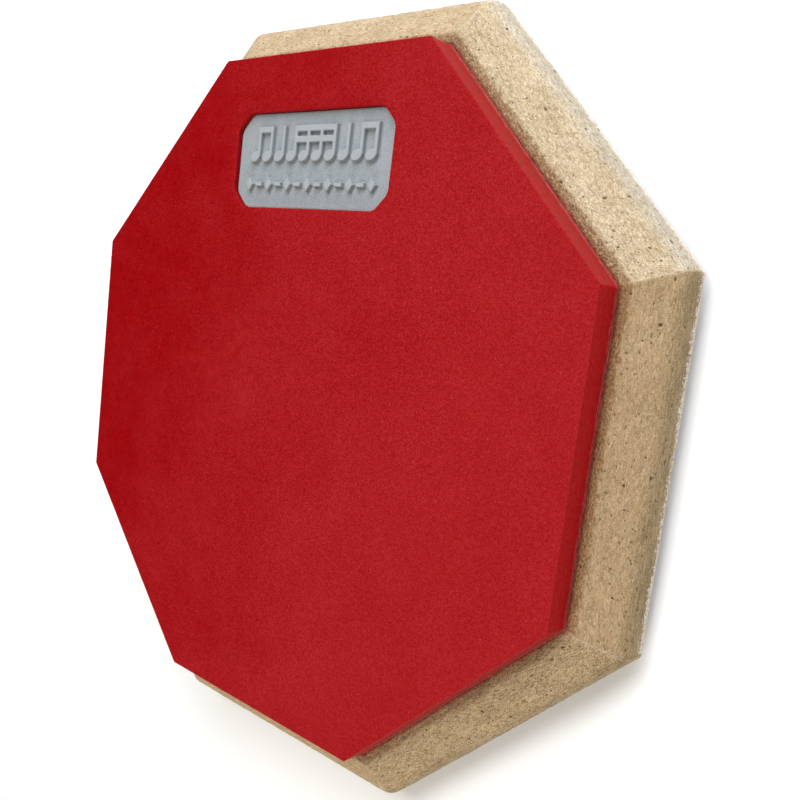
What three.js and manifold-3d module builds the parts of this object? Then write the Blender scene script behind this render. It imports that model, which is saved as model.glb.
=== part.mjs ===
// Drummer's practice pad. A thick octagonal sheet of red rubber is glued to a bevelled octagonal chipboard
// base. A grey moulded badge sits in a window cut through the rubber, and a thin foam sheet glued under the
// base keeps it from sliding.
//
// Millimetres, +Z up. The origin is the centre of the underside, +Z leaves the playing face and the badge
// is on the +Y side. Every level is a multiple of a quarter of a millimetre, so that pieces which lie on
// each other share exactly the same plane.

import * as THREE from 'three';
import { mergeVertices } from 'three/addons/utils/BufferGeometryUtils.js';
import Module from 'manifold-3d';

const SIDES = 8;
const CORNER_TURN = (2 * Math.PI) / SIDES;
const ARC_STEPS = 2;

// Thicknesses, from the floor upwards.
const BACKING_THICKNESS = 3;
const GLUE_THICKNESS = 0.25;
const BOARD_THICKNESS = 16;
const RUBBER_THICKNESS = 8;

// Chipboard base: across flats at the rim, the bare strip left round the rubber, and the bevel below it.
const BOARD_FLATS = 227;
const LAND_WIDTH = 3.1;
const BEVEL_DEPTH = 7.4;
const REAR_EASING = 2;
const ARRIS_SOFTNESS = 1.6;
const ARRIS_STEPS = 3;

// Rubber playing surface, and the foam sheet under the base.
const RUBBER_FLATS = 200;
const RUBBER_CORNER = 0.8;
const BACKING_INSET = 6;
const BACKING_CORNER = 5;
const GLUE_MARGIN = 1;

// Badge: outline, where it sits, and how it is fitted in its window.
const BADGE_WIDTH = 65;
const BADGE_HEIGHT = 28;
const BADGE_CLIP = 4.8;
const BADGE_CENTRE_Y = 69.4;
const BADGE_FIT = 0.25;
const BADGE_RECESS = 1.5;

// Relief on the badge: a row of beamed notes above a row of beat marks.
const RELIEF_HEIGHT = 1.25;
const RELIEF_ROOT = 0.5;
const NOTE_GROUPS = [2, 1, 4, 1, 2];
const NOTE_PITCH = 5.4;
const NOTE_BASE_Y = 1.2;
const NOTE_TOP_Y = 10;
const HEAD_RADII = [2.3, 1.65];
const HEAD_TILT = 0.35;
const HEAD_STEPS = 10;
const STEM_WIDTH = 1.4;
const BEAM_THICKNESS = 2;
const BEAM_SPACING = 3.1;
const MARK_COUNT = 13;
const MARK_PITCH = 4.3;
const MARK_CENTRE_Y = -7;
const LOZENGE_SIZE = [3.2, 4.4];
const DASH_SIZE = [3, 1.4];

// Levels worked out from the thicknesses.
const BOARD_Z = BACKING_THICKNESS + GLUE_THICKNESS;
const LAND_Z = BOARD_Z + BOARD_THICKNESS;
const RUBBER_Z = LAND_Z + GLUE_THICKNESS;
const BADGE_THICKNESS = RUBBER_THICKNESS - BADGE_RECESS;

const wasm = await Module();
wasm.setup();

// A regular polygon with one flat facing +Y, and its corners rounded by an arc.
function octagon(acrossFlats, cornerRadius) {
  const shape = new THREE.Shape();
  const reach = (acrossFlats / 2 - cornerRadius) / Math.cos(CORNER_TURN / 2);
  for (let i = 0; i < SIDES; i += 1) {
    const angle = (i + 0.5) * CORNER_TURN;
    const start = angle - CORNER_TURN / 2;
    shape.absarc(reach * Math.cos(angle), reach * Math.sin(angle), cornerRadius, start, start + CORNER_TURN);
  }
  shape.closePath();
  return shape;
}

// The badge's outline, or its window's when grown: a rectangle with clipped corners.
function clippedRectangle(grow) {
  const x = BADGE_WIDTH / 2 + grow;
  const y = BADGE_HEIGHT / 2 + grow;
  const shape = new THREE.Shape();
  shape.moveTo(x, BADGE_CLIP - y);
  shape.lineTo(x, y - BADGE_CLIP);
  shape.lineTo(x - BADGE_CLIP, y);
  shape.lineTo(BADGE_CLIP - x, y);
  shape.lineTo(-x, y - BADGE_CLIP);
  shape.lineTo(-x, BADGE_CLIP - y);
  shape.lineTo(BADGE_CLIP - x, -y);
  shape.lineTo(x - BADGE_CLIP, -y);
  shape.closePath();
  return shape;
}

// A shape given height, standing on z.
function slab(shape, z, height, curveSegments = ARC_STEPS) {
  const geometry = new THREE.ExtrudeGeometry(shape, { depth: height, bevelEnabled: false, curveSegments });
  return geometry.translate(0, 0, z);
}

// A three.js geometry as a solid that can be joined and cut.
function toSolid(geometry) {
  geometry.deleteAttribute('normal');
  geometry.deleteAttribute('uv');
  const merged = mergeVertices(geometry, 1e-4);
  const mesh = new wasm.Mesh({
    numProp: 3,
    vertProperties: new Float32Array(merged.attributes.position.array),
    triVerts: new Uint32Array(merged.index.array),
  });
  return new wasm.Manifold(mesh);
}

function toGeometry(solid) {
  const mesh = solid.getMesh();
  const geometry = new THREE.BufferGeometry();
  geometry.setAttribute('position', new THREE.BufferAttribute(mesh.vertProperties, 3));
  geometry.setIndex(new THREE.BufferAttribute(mesh.triVerts, 1));
  geometry.computeVertexNormals();
  return geometry;
}

// Half of the base's cross-section, from the axis of its rear face round to the axis of its front face, as
// distances to the flats. Each arris is softened by a curve that starts and ends a little way from it.
function boardProfile() {
  const rim = BOARD_FLATS / 2;
  const land = RUBBER_FLATS / 2 + LAND_WIDTH;
  const corners = [
    new THREE.Vector2(rim - REAR_EASING, 0),
    new THREE.Vector2(rim, REAR_EASING),
    new THREE.Vector2(rim, BOARD_THICKNESS - BEVEL_DEPTH),
    new THREE.Vector2(land, BOARD_THICKNESS),
  ];
  const path = new THREE.Path();
  path.moveTo(0, 0);
  path.lineTo(corners[0].x, corners[0].y);
  path.lineTo(corners[1].x, corners[1].y);
  for (const at of [2, 3]) {
    const corner = corners[at];
    const next = corners[at + 1] ?? new THREE.Vector2(0, BOARD_THICKNESS);
    const before = corners[at - 1].clone().sub(corner).setLength(ARRIS_SOFTNESS).add(corner);
    const after = next.clone().sub(corner).setLength(ARRIS_SOFTNESS).add(corner);
    path.lineTo(before.x, before.y);
    path.quadraticCurveTo(corner.x, corner.y, after.x, after.y);
  }
  path.lineTo(0, BOARD_THICKNESS);
  return path.getPoints(ARRIS_STEPS);
}

// An eight-sided lathe gives the octagon mitred bevels.
function boardGeometry() {
  const toCorner = 1 / Math.cos(CORNER_TURN / 2);
  const points = boardProfile().map((p) => new THREE.Vector2(p.x * toCorner, p.y));
  const geometry = new THREE.LatheGeometry(points, SIDES, CORNER_TURN / 2);
  geometry.rotateX(Math.PI / 2);
  return geometry.translate(0, 0, BOARD_Z);
}

// An octagon with the badge's window cut through it.
function windowedOctagon(acrossFlats) {
  const outline = octagon(acrossFlats, RUBBER_CORNER);
  const window = clippedRectangle(BADGE_FIT).getPoints();
  outline.holes.push(new THREE.Path(window.map((p) => new THREE.Vector2(p.x, p.y + BADGE_CENTRE_Y))));
  return outline;
}

function rubberGeometry() {
  return slab(windowedOctagon(RUBBER_FLATS), RUBBER_Z, RUBBER_THICKNESS);
}

function rectangle(x, y, width, height) {
  const shape = new THREE.Shape();
  shape.moveTo(x - width / 2, y - height / 2);
  shape.lineTo(x + width / 2, y - height / 2);
  shape.lineTo(x + width / 2, y + height / 2);
  shape.lineTo(x - width / 2, y + height / 2);
  shape.closePath();
  return shape;
}

function lozenge(x, y, width, height) {
  const shape = new THREE.Shape();
  shape.moveTo(x - width / 2, y);
  shape.lineTo(x, y - height / 2);
  shape.lineTo(x + width / 2, y);
  shape.lineTo(x, y + height / 2);
  shape.closePath();
  return shape;
}

// One group of notes: a tilted oval head and a stem for each, a beam over two or more, two beams over four.
function noteGroup(firstX, count) {
  const shapes = [];
  for (let i = 0; i < count; i += 1) {
    const x = firstX + i * NOTE_PITCH;
    const head = new THREE.Shape();
    head.absellipse(x, NOTE_BASE_Y, HEAD_RADII[0], HEAD_RADII[1], 0, 2 * Math.PI, false, HEAD_TILT);
    const stemX = x + HEAD_RADII[0] - STEM_WIDTH / 2;
    const stemY = (NOTE_BASE_Y + NOTE_TOP_Y) / 2;
    shapes.push(head, rectangle(stemX, stemY, STEM_WIDTH, NOTE_TOP_Y - NOTE_BASE_Y));
  }
  const beams = Math.floor(count / 2);
  const beamLength = (count - 1) * NOTE_PITCH + STEM_WIDTH;
  const beamX = firstX + HEAD_RADII[0] - STEM_WIDTH + beamLength / 2;
  for (let i = 0; i < beams; i += 1) {
    const y = NOTE_TOP_Y - BEAM_THICKNESS / 2 - i * BEAM_SPACING;
    shapes.push(rectangle(beamX, y, beamLength, BEAM_THICKNESS));
  }
  return shapes;
}

function noteRow() {
  const notes = NOTE_GROUPS.reduce((sum, count) => sum + count, 0);
  let x = (-(notes - 1) * NOTE_PITCH) / 2;
  const shapes = [];
  for (const count of NOTE_GROUPS) {
    shapes.push(...noteGroup(x, count));
    x += count * NOTE_PITCH;
  }
  return shapes;
}

// A lozenge on every second place and a short dash between.
function markRow() {
  const shapes = [];
  for (let i = 0; i < MARK_COUNT; i += 1) {
    const x = (i - (MARK_COUNT - 1) / 2) * MARK_PITCH;
    const [outline, size] = i % 2 === 0 ? [lozenge, LOZENGE_SIZE] : [rectangle, DASH_SIZE];
    shapes.push(outline(x, MARK_CENTRE_Y, ...size));
  }
  return shapes;
}

// All the marks, joined where they meet, with their roots sunk in the plate.
function reliefSolid() {
  const outline = (shape) => shape.getPoints(HEAD_STEPS).map((p) => [p.x, p.y]);
  const marks = new wasm.CrossSection([...noteRow(), ...markRow()].map(outline), 'NonZero');
  return marks.extrude(RELIEF_ROOT + RELIEF_HEIGHT).translate(0, 0, BADGE_THICKNESS - RELIEF_ROOT);
}

function badgeGeometry() {
  const plate = toSolid(slab(clippedRectangle(0), 0, BADGE_THICKNESS));
  return toGeometry(plate.add(reliefSolid())).translate(0, BADGE_CENTRE_Y, RUBBER_Z);
}

// The film of glue under the rubber has the same window, and shows as a narrow line round the rubber.
function surfaceGlueGeometry() {
  return slab(windowedOctagon(RUBBER_FLATS + 2 * GLUE_MARGIN), LAND_Z, GLUE_THICKNESS);
}

function badgeGlueGeometry() {
  return slab(clippedRectangle(0), LAND_Z, GLUE_THICKNESS).translate(0, BADGE_CENTRE_Y, 0);
}

function backingGeometry() {
  return slab(octagon(BOARD_FLATS - 2 * BACKING_INSET, BACKING_CORNER), 0, BACKING_THICKNESS);
}

function backingGlueGeometry() {
  const flats = BOARD_FLATS - 2 * (BACKING_INSET + GLUE_MARGIN);
  return slab(octagon(flats, BACKING_CORNER), BACKING_THICKNESS, GLUE_THICKNESS);
}

function piece(name, geometry, color, roughness) {
  const mesh = new THREE.Mesh(geometry, new THREE.MeshStandardMaterial({ color, roughness, metalness: 0 }));
  mesh.name = name;
  return mesh;
}

const CHIPBOARD = 0xb59a72;
const RED_RUBBER = 0xab171f;
const GREY_RUBBER = 0x9ba3a8;
const DRIED_GLUE = 0x7a5a38;
const DARK_FOAM = 0x2b2b2d;

const pad = new THREE.Group();
pad.add(
  piece('base_board', boardGeometry(), CHIPBOARD, 0.85),
  piece('playing_surface', rubberGeometry(), RED_RUBBER, 0.6),
  piece('badge_insert', badgeGeometry(), GREY_RUBBER, 0.6),
  piece('surface_adhesive', surfaceGlueGeometry(), DRIED_GLUE, 0.4),
  piece('badge_adhesive', badgeGlueGeometry(), DRIED_GLUE, 0.4),
  piece('nonslip_backing', backingGeometry(), DARK_FOAM, 0.95),
  piece('backing_adhesive', backingGlueGeometry(), DRIED_GLUE, 0.4),
);

export default pad;
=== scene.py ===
"""A drummer's practice pad: red rubber on bevelled raw chipboard, with a grey moulded badge.

Metres, +Z out of the playing face, +Y towards the badge. Each visible piece is a fine mesh worked out from
the box of the CAD node that it stands for. MM turns the millimetres that sizes are written in into metres.
"""

import itertools
import math

import bpy
import numpy as np
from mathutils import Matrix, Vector
from mathutils.geometry import delaunay_2d_cdt


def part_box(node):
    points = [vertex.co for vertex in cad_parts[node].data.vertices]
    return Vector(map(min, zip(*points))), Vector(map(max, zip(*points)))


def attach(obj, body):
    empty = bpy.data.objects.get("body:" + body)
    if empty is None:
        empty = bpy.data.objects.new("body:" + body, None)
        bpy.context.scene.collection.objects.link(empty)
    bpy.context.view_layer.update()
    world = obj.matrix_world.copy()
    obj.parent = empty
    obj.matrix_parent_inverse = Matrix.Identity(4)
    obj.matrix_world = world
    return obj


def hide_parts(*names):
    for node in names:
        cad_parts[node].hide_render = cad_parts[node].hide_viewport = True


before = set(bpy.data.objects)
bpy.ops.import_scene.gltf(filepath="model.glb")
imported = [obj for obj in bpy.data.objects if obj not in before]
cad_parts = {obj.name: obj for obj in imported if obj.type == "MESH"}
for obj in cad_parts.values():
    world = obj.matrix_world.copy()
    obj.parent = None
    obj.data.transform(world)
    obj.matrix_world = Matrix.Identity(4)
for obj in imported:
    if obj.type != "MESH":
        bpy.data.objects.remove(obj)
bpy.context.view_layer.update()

MM = 0.001
SIDES = 8
TURN = 2 * math.pi / SIDES
HALF_TAN = math.tan(TURN / 2)

# Where the CAD has each piece.
RUBBER_LOW, RUBBER_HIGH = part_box("playing_surface")
BADGE_LOW, BADGE_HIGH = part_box("badge_insert")
BOARD_LOW, BOARD_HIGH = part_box("base_board")
GLUE_LOW, GLUE_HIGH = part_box("surface_adhesive")
FOAM_LOW, FOAM_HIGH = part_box("nonslip_backing")
BADGE_CENTRE = np.array([(BADGE_HIGH.x + BADGE_LOW.x) / 2, (BADGE_HIGH.y + BADGE_LOW.y) / 2])
BADGE_HALF = np.array([(BADGE_HIGH.x - BADGE_LOW.x) / 2, (BADGE_HIGH.y - BADGE_LOW.y) / 2])

# Lists of eight are for the corners or sides of the octagons, anticlockwise from the one nearest +X. A STEP
# is how far apart the points of a mesh are.

# How far one piece goes on under another, out of sight.
HIDDEN_LAP = 2.5 * MM

# Board: the bare strip round the rubber, the bevel, and how far the arrises and corners are worn round.
LAND_WIDTH = 3.1 * MM
BEVEL_DEPTH = 7.4 * MM
FRONT_ARRIS = 0.9 * MM
RIM_ARRIS = 3.4 * MM
REAR_ARRIS = 1.4 * MM
LAND_CORNER = 0.6 * MM
RIM_CORNERS = np.array([1.0, 3.2, 2.4, 1.6, 2.2, 2.8, 4.2, 2.0]) * MM
BOARD_STEP = 0.36 * MM

# How each side of the board looks: the stain on its bare strip, the grime on its rim, the raw fringe along
# its rear edge, how much painted light makes the cut paler, most on the side facing the key light, and how
# coarse the cut is.
# The bare strip's stain is partly painted shade: it darkens the strip beside the rubber as shade would.
LAND_STAIN = np.array([1.0, 1.0, 0.85, 0.8, 0.7, 0.6, 0.5, 0.2])
RIM_GRIME = np.array([0.85, 0.0, 0.2, 0.5, 0.8, 0.8, 0.8, 0.9])
FRINGE = np.array([1.0, 1.0, 0.8, 0.8, 0.6, 0.6, 0.5, 0.12])
CUT_PAINTED_LIGHT = np.array([0.0, 1.0, 0.55, 0.5, 0.3, 0.3, 0.3, 0.2])
CUT_COARSE = np.array([0.9, 1.12, 1.1, 0.9, 1.0, 1.2, 1.4, 2.1])

# Rubber: the arris of its face, the corners of its outline in front and behind, how dusty each side is, how
# hollow the sides are cut, and how far in from the outline the sides' mesh meets the face's.
RUBBER_ARRIS = 0.38 * MM
FACE_CORNER = 0.7 * MM
BACK_CORNERS = np.array([1.8, 3.4, 2.0, 1.4, 1.2, 1.8, 2.2, 1.8]) * MM
SIDE_DUST = np.array([0.2, 1.0, 0.7, 0.5, 0.4, 0.6, 0.7, 0.85])
SIDE_DEPTH = 0.22 * MM
FACE_RIM = 1.2 * MM
RUBBER_STEP = 0.42 * MM
FACE_STEP = 2.4 * MM
BACK_STEP = 12 * MM

# Badge, and the window that grips it.
BADGE_CLIP = 4.8 * MM
BADGE_CORNER = 1.7 * MM
BADGE_ARRIS = 0.45 * MM
BADGE_STEP = 0.18 * MM
WINDOW_FIT = 0.05 * MM
WINDOW_ARRIS = 0.3 * MM

# Relief on the badge, as in the CAD.
RELIEF_HEIGHT = 1.25 * MM
RELIEF_DRAFT = 0.3 * MM
NOTE_GROUPS = (2, 1, 4, 1, 2)
NOTE_PITCH = 5.4 * MM
NOTE_BASE_Y = 1.2 * MM
NOTE_TOP_Y = 10 * MM
HEAD_RADII = (2.3 * MM, 1.65 * MM)
HEAD_TILT = 0.35
STEM_WIDTH = 1.4 * MM
BEAM_THICKNESS = 2 * MM
BEAM_SPACING = 3.1 * MM
MARK_COUNT = 13
MARK_PITCH = 4.3 * MM
MARK_CENTRE_Y = -7 * MM
LOZENGE_SIZE = (3.2 * MM, 4.4 * MM)
DASH_SIZE = (3 * MM, 1.4 * MM)

# Foam sheet, and how far in from its outline the sides' mesh meets the underside's.
FOAM_CORNER = 5 * MM
FOAM_RIM = 3 * MM
FOAM_STEP = 0.8 * MM
FOAM_FACE_STEP = 1.6 * MM

# Floor: how far it reaches in metres, and how far from the pad's middle, in millimetres, it starts and ends
# fading.
FLOOR_REACH = 4
FLOOR_FADE = (200, 330)
FLOOR_COLOUR = (0.93, 0.93, 0.93, 1)

# Surround: how strongly it lights the pad, and how bright the camera sees it.
SURROUND_LIGHT = 0.03
SURROUND_SEEN = 1.0

# Camera: its place from the middle of the playing face, its turn in degrees, its lens and sensor in
# millimetres, and its shift.
CAMERA_PLACE = Vector((209.4, 33.8, 193.4)) * MM
CAMERA_TURN = (-2.615, 43.649, 9.021)
CAMERA_LENS = 42.75
CAMERA_SENSOR = 36
CAMERA_SHIFT = (0.063, 0.047)

# Seeds, so that every run is the same.
SEED_BOARD = 11
SEED_RUBBER = 23
SEED_BADGE = 37
SEED_GLUE = 41
SEED_FOAM = 53


# ---------------------------------------------------------------------------------------------------------
# Random fields


def hashed(cells, seed):
    """A number from 0 to 1 for each whole-number cell, the same on every run."""
    mixed = np.full(len(cells), seed * 7919 + 1, np.uint32)
    for axis in range(cells.shape[1]):
        mixed ^= cells[:, axis].astype(np.int64).astype(np.uint32)
        mixed *= np.uint32(0x9E3779B1)
        mixed ^= mixed >> np.uint32(15)
        mixed *= np.uint32(0x85EBCA77)
        mixed ^= mixed >> np.uint32(13)
    return mixed / 2**32


def noise(points, size, seed):
    """Smooth random numbers from -1 to 1, with features about size across. size may differ between axes."""
    at = points / np.asarray(size, float)
    cell = np.floor(at).astype(np.int64)
    ease = at - cell
    ease = ease * ease * (3 - 2 * ease)
    total = np.zeros(len(points))
    for corner in itertools.product((0, 1), repeat=points.shape[1]):
        weight = np.prod(np.where(corner, ease, 1 - ease), axis=1)
        total += weight * hashed(cell + corner, seed)
    return 2 * total - 1


def fractal(points, size, seed, octaves=3):
    """Noise with finer and weaker noise on it."""
    size = np.asarray(size, float)
    total = np.zeros(len(points))
    for octave in range(octaves):
        total += noise(points, size / 2**octave, seed + octave) / 2**octave
    return total


def pits(at, cell, seed, chance, radius):
    """Depth from 0 to 1 of ragged pits, at most one to a square cell of a flat surface."""
    home = np.floor(at / cell).astype(np.int64)
    deepest = np.zeros(len(at))
    for step in itertools.product((-1, 0, 1), repeat=2):
        near = home + step
        centre = (near + np.stack([hashed(near, seed), hashed(near, seed + 1)], 1)) * cell
        size = radius[0] + (radius[1] - radius[0]) * hashed(near, seed + 2) ** 2
        stretch = 1 + 0.7 * hashed(near, seed + 3)
        away = (at - centre) / np.stack([size * stretch, size / stretch], 1)
        depth = np.clip(1.35 - (away**2).sum(1), 0, 1)
        deepest = np.maximum(deepest, depth * (hashed(near, seed + 4) < chance))
    return deepest


def smooth_step(low, high, value):
    """From 0 at low to 1 at high, eased at both ends. low may be the larger of the two."""
    share = np.clip((value - low) / (high - low), 0, 1)
    return share * share * (3 - 2 * share)


# ---------------------------------------------------------------------------------------------------------
# Meshes


def padded(values, count):
    """values, with zeros after them up to count."""
    return np.concatenate([values, np.zeros((count - len(values), *values.shape[1:]))])


def make_mesh(name, vertices, faces, flat=None, paint=None):
    """A smooth-shaded mesh object. flat is a pair of surface coordinates in metres for each vertex, kept as
    a UV map for the materials, and paint holds named numbers for each vertex. Both may stop short of the
    last vertices, which then get zeros."""
    mesh = bpy.data.meshes.new(name)
    mesh.from_pydata([tuple(v) for v in vertices], [], [tuple(f) for f in faces])
    if flat is not None:
        corners = np.empty(len(mesh.loops), np.int32)
        mesh.loops.foreach_get("vertex_index", corners)
        layer = mesh.uv_layers.new(name="flat")
        layer.data.foreach_set("uv", padded(flat, len(vertices)).astype(np.float32)[corners].ravel())
    for key, values in (paint or {}).items():
        attribute = mesh.attributes.new(key, "FLOAT", "POINT")
        attribute.data.foreach_set("value", padded(values, len(vertices)).astype(np.float32))
    mesh.shade_smooth()
    mesh.validate()
    piece = bpy.data.objects.new(name, mesh)
    bpy.context.scene.collection.objects.link(piece)
    return piece


def rounded_path(corners, step):
    """Points about step apart along a line through corners, each (distance out, height, how much the corner
    is rounded). The first and last corners are kept as they are."""
    points = []
    spots = [np.array(c[:2], float) for c in corners]

    def straight(start, end):
        count = max(1, round(float(np.linalg.norm(end - start)) / step))
        points.extend(start + (end - start) * i / count for i in range(count))

    last = spots[0]
    for i in range(1, len(corners) - 1):
        ease = corners[i][2]
        before = spots[i] + (spots[i - 1] - spots[i]) * ease / np.linalg.norm(spots[i - 1] - spots[i])
        after = spots[i] + (spots[i + 1] - spots[i]) * ease / np.linalg.norm(spots[i + 1] - spots[i])
        straight(last, before)
        count = max(3, round(2 * ease / step))
        for j in range(count):
            t = j / count
            points.append((1 - t) ** 2 * before + 2 * t * (1 - t) * spots[i] + t * t * after)
        last = after
    straight(last, spots[-1])
    points.append(spots[-1])
    return np.array(points)


def octagon_ring(to_flat, corners, along_steps, corner_steps):
    """Points round an octagon whose corners are rounded by so much each, and how far round each point is."""
    angle = np.linspace(0, TURN, corner_steps + 1)[1:-1]
    points, runs = [], []
    for k in range(SIDES):
        ease = corners[k]
        start, end = (corners[k - 1] - to_flat) * HALF_TAN, (to_flat - ease) * HALF_TAN
        along = np.linspace(start, end, along_steps + 1)
        out = np.concatenate([np.full(len(along), to_flat), to_flat - ease + ease * np.cos(angle)])
        side = np.concatenate([along, along[-1] + ease * np.sin(angle)])
        c, s = math.cos(k * TURN), math.sin(k * TURN)
        points.append(np.stack([out * c - side * s, out * s + side * c], 1))
        runs.append(np.concatenate([along, along[-1] + ease * angle]) + 2 * k * to_flat * HALF_TAN)
    return np.concatenate(points), np.concatenate(runs)


def tube_faces(rings):
    """Quads from each ring of point numbers to the next."""
    pairs = zip(rings, rings[1:])
    return np.concatenate([np.stack([a, np.roll(a, -1), np.roll(b, -1), b], 1) for a, b in pairs])


def cap(ring, centre, upwards):
    """Triangles from a ring of point numbers to a centre point."""
    following = np.roll(ring, -1)
    middle = np.full(len(ring), centre)
    return np.stack([ring, following, middle] if upwards else [following, ring, middle], 1)


class Band:
    """A closed strip round an octagon: one ring of points for each point of its cross-section. corners has a
    row of eight roundings for each ring."""

    def __init__(self, path, corners, step, corner_steps=8):
        widest = np.argmax(path[:, 0])
        along_steps = round(2 * path[widest, 0] * HALF_TAN / step)
        rings = [octagon_ring(a, ease, along_steps, corner_steps) for (a, _), ease in zip(path, corners)]
        self.rows, self.columns = len(path), len(rings[0][1])
        run = rings[widest][1]
        length = np.concatenate([[0], np.cumsum(np.linalg.norm(np.diff(path, axis=0), axis=1))])
        self.run = np.tile(run, (self.rows, 1))
        self.across = np.repeat(length[:, None], self.columns, axis=1)
        height = np.repeat(path[:, 1][:, None], self.columns, axis=1)
        self.points = np.dstack([np.stack([r[0] for r in rings]), height])

    def side(self, values):
        """One of eight values for each point, by the side that the point is on."""
        return np.tile(np.repeat(values, self.columns // SIDES), self.rows)

    def normals(self):
        """The surface's normal at each point."""
        round_it = np.roll(self.points, -1, axis=1) - np.roll(self.points, 1, axis=1)
        normal = np.cross(round_it, np.gradient(self.points, axis=0))
        return normal / np.maximum(np.linalg.norm(normal, axis=2, keepdims=True), 1e-12)

    def push(self, amount):
        """Moves each point along the surface's normal."""
        self.points = self.points + self.normals() * amount.reshape(self.rows, self.columns, 1)

    def flat(self):
        """Distance along and across the strip for each point, as rows of two."""
        return np.stack([self.run.ravel(), self.across.ravel()], 1)

    def solid(self):
        """All the points, as rows of three."""
        return self.points.reshape(-1, 3)

    def faces(self):
        """Quads from each ring to the next."""
        return tube_faces(np.arange(self.rows * self.columns).reshape(self.rows, self.columns))

    def closed(self, low, high):
        """The strip's points and faces, with its first ring closed at height low and its last at high."""
        points = np.concatenate([self.solid(), [(0, 0, low), (0, 0, high)]])
        ring = np.arange(self.columns)
        below = cap(ring, len(points) - 2, upwards=False)
        above = cap(ring + (self.rows - 1) * self.columns, len(points) - 1, upwards=True)
        return points, [*self.faces(), *below, *above]


def within(at, loop):
    """Whether each point is inside a closed loop."""
    crossings = np.zeros(len(at), int)
    for a, b in zip(loop, np.roll(loop, -1, axis=0)):
        spans = (a[1] > at[:, 1]) != (b[1] > at[:, 1])
        with np.errstate(divide="ignore", invalid="ignore"):
            x = a[0] + (b[0] - a[0]) * (at[:, 1] - a[1]) / (b[1] - a[1])
        crossings += spans & (at[:, 0] < x)
    return crossings % 2 == 1


def sheet_of(loops, step, inside):
    """Flat triangles filling the first loop of points apart from any other loop, on a grid of points about
    step apart. inside says how far in from the edges a point is. The loops' points come first, in order."""
    edges, rim = [], []
    for loop in loops:
        first = len(rim)
        rim.extend(loop)
        edges.extend((first + i, first + (i + 1) % len(loop)) for i in range(len(loop)))
    low, high = np.min(loops[0], axis=0), np.max(loops[0], axis=0)
    counts = np.ceil((high - low) / step).astype(int)
    lines = [np.linspace(low[i], high[i], counts[i] + 1) for i in range(2)]
    x, y = np.meshgrid(*lines, indexing="ij")
    x = x + 0.5 * step * (np.arange(counts[1] + 1) % 2)
    grid = np.stack([x.ravel(), y.ravel()], 1)
    grid = grid[(inside(grid) > 0.45 * step) & within(grid, loops[0])]
    points = np.concatenate([np.array(rim), grid])
    found = delaunay_2d_cdt([Vector(p) for p in points], edges, [], 1, 1e-9)
    order = np.array([same[0] for same in found[3]])
    triangles = order[np.array(found[2])]
    middles = points[triangles].mean(axis=1)
    for hole in loops[1:]:
        outside = ~within(middles, hole)
        triangles, middles = triangles[outside], middles[outside]
    return points, triangles


# ---------------------------------------------------------------------------------------------------------
# Distances to outlines, positive inside


def inside_octagon(at, to_flat):
    """How far inside an octagon whose flats are so far from its middle."""
    angles = np.arange(SIDES) * TURN
    return to_flat - np.max(at[:, :1] * np.cos(angles) + at[:, 1:2] * np.sin(angles), axis=1)


def inside_clipped(at, grow=0.0):
    """How far inside the badge's outline, or its window's when grown."""
    away = BADGE_HALF + grow - np.abs(at - BADGE_CENTRE)
    return np.minimum(away.min(1), (away.sum(1) - BADGE_CLIP) / math.sqrt(2))


def clipped_loop(grow, step):
    """Points about step apart round the badge's outline, or its window's when grown, with soft corners."""
    x, y = BADGE_HALF + grow
    c = BADGE_CLIP
    half = np.array([(x, c - y), (x, y - c), (x - c, y), (c - x, y)])
    corners = np.concatenate([half, -half]) + BADGE_CENTRE
    points = []
    for before, corner, after in zip(np.roll(corners, 1, axis=0), corners, np.roll(corners, -1, axis=0)):
        start = corner + (before - corner) * BADGE_CORNER / np.linalg.norm(before - corner)
        end = corner + (after - corner) * BADGE_CORNER / np.linalg.norm(after - corner)
        for t in np.linspace(0, 1, 5)[:-1]:
            points.append((1 - t) ** 2 * start + 2 * t * (1 - t) * corner + t * t * end)
        far = after + (corner - after) * BADGE_CORNER / np.linalg.norm(after - corner)
        count = max(2, round(float(np.linalg.norm(far - end)) / step))
        points.extend(end + (far - end) * i / count for i in range(count))
    return np.array(points)


def bar(at, x, y, width, height):
    """How far inside a rectangle with its centre at x and y."""
    return (np.array([width, height]) / 2 - np.abs(at - [x, y])).min(1)


def lozenge(at, x, y, width, height):
    reach = np.abs(at[:, 0] - x) / (width / 2) + np.abs(at[:, 1] - y) / (height / 2)
    return (1 - reach) * width * height / 2 / math.hypot(width, height)


def note_head(at, x, y):
    c, s = math.cos(HEAD_TILT), math.sin(HEAD_TILT)
    dx, dy = at[:, 0] - x, at[:, 1] - y
    shape = np.hypot((dx * c + dy * s) / HEAD_RADII[0], (dy * c - dx * s) / HEAD_RADII[1])
    return (1 - shape) * HEAD_RADII[1]


def note_group(at, x, count):
    """The parts of a group of notes under shared beams, the first with its head at x."""
    middle = (NOTE_BASE_Y + NOTE_TOP_Y) / 2
    for i in range(count):
        stem = x + i * NOTE_PITCH + HEAD_RADII[0] - STEM_WIDTH / 2
        yield note_head(at, x + i * NOTE_PITCH, NOTE_BASE_Y)
        yield bar(at, stem, middle, STEM_WIDTH, NOTE_TOP_Y - NOTE_BASE_Y)
    length = (count - 1) * NOTE_PITCH + STEM_WIDTH
    beam = x + HEAD_RADII[0] - STEM_WIDTH + length / 2
    for i in range(count // 2):
        y = NOTE_TOP_Y - BEAM_THICKNESS / 2 - i * BEAM_SPACING
        yield bar(at, beam, y, length, BEAM_THICKNESS)


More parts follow.
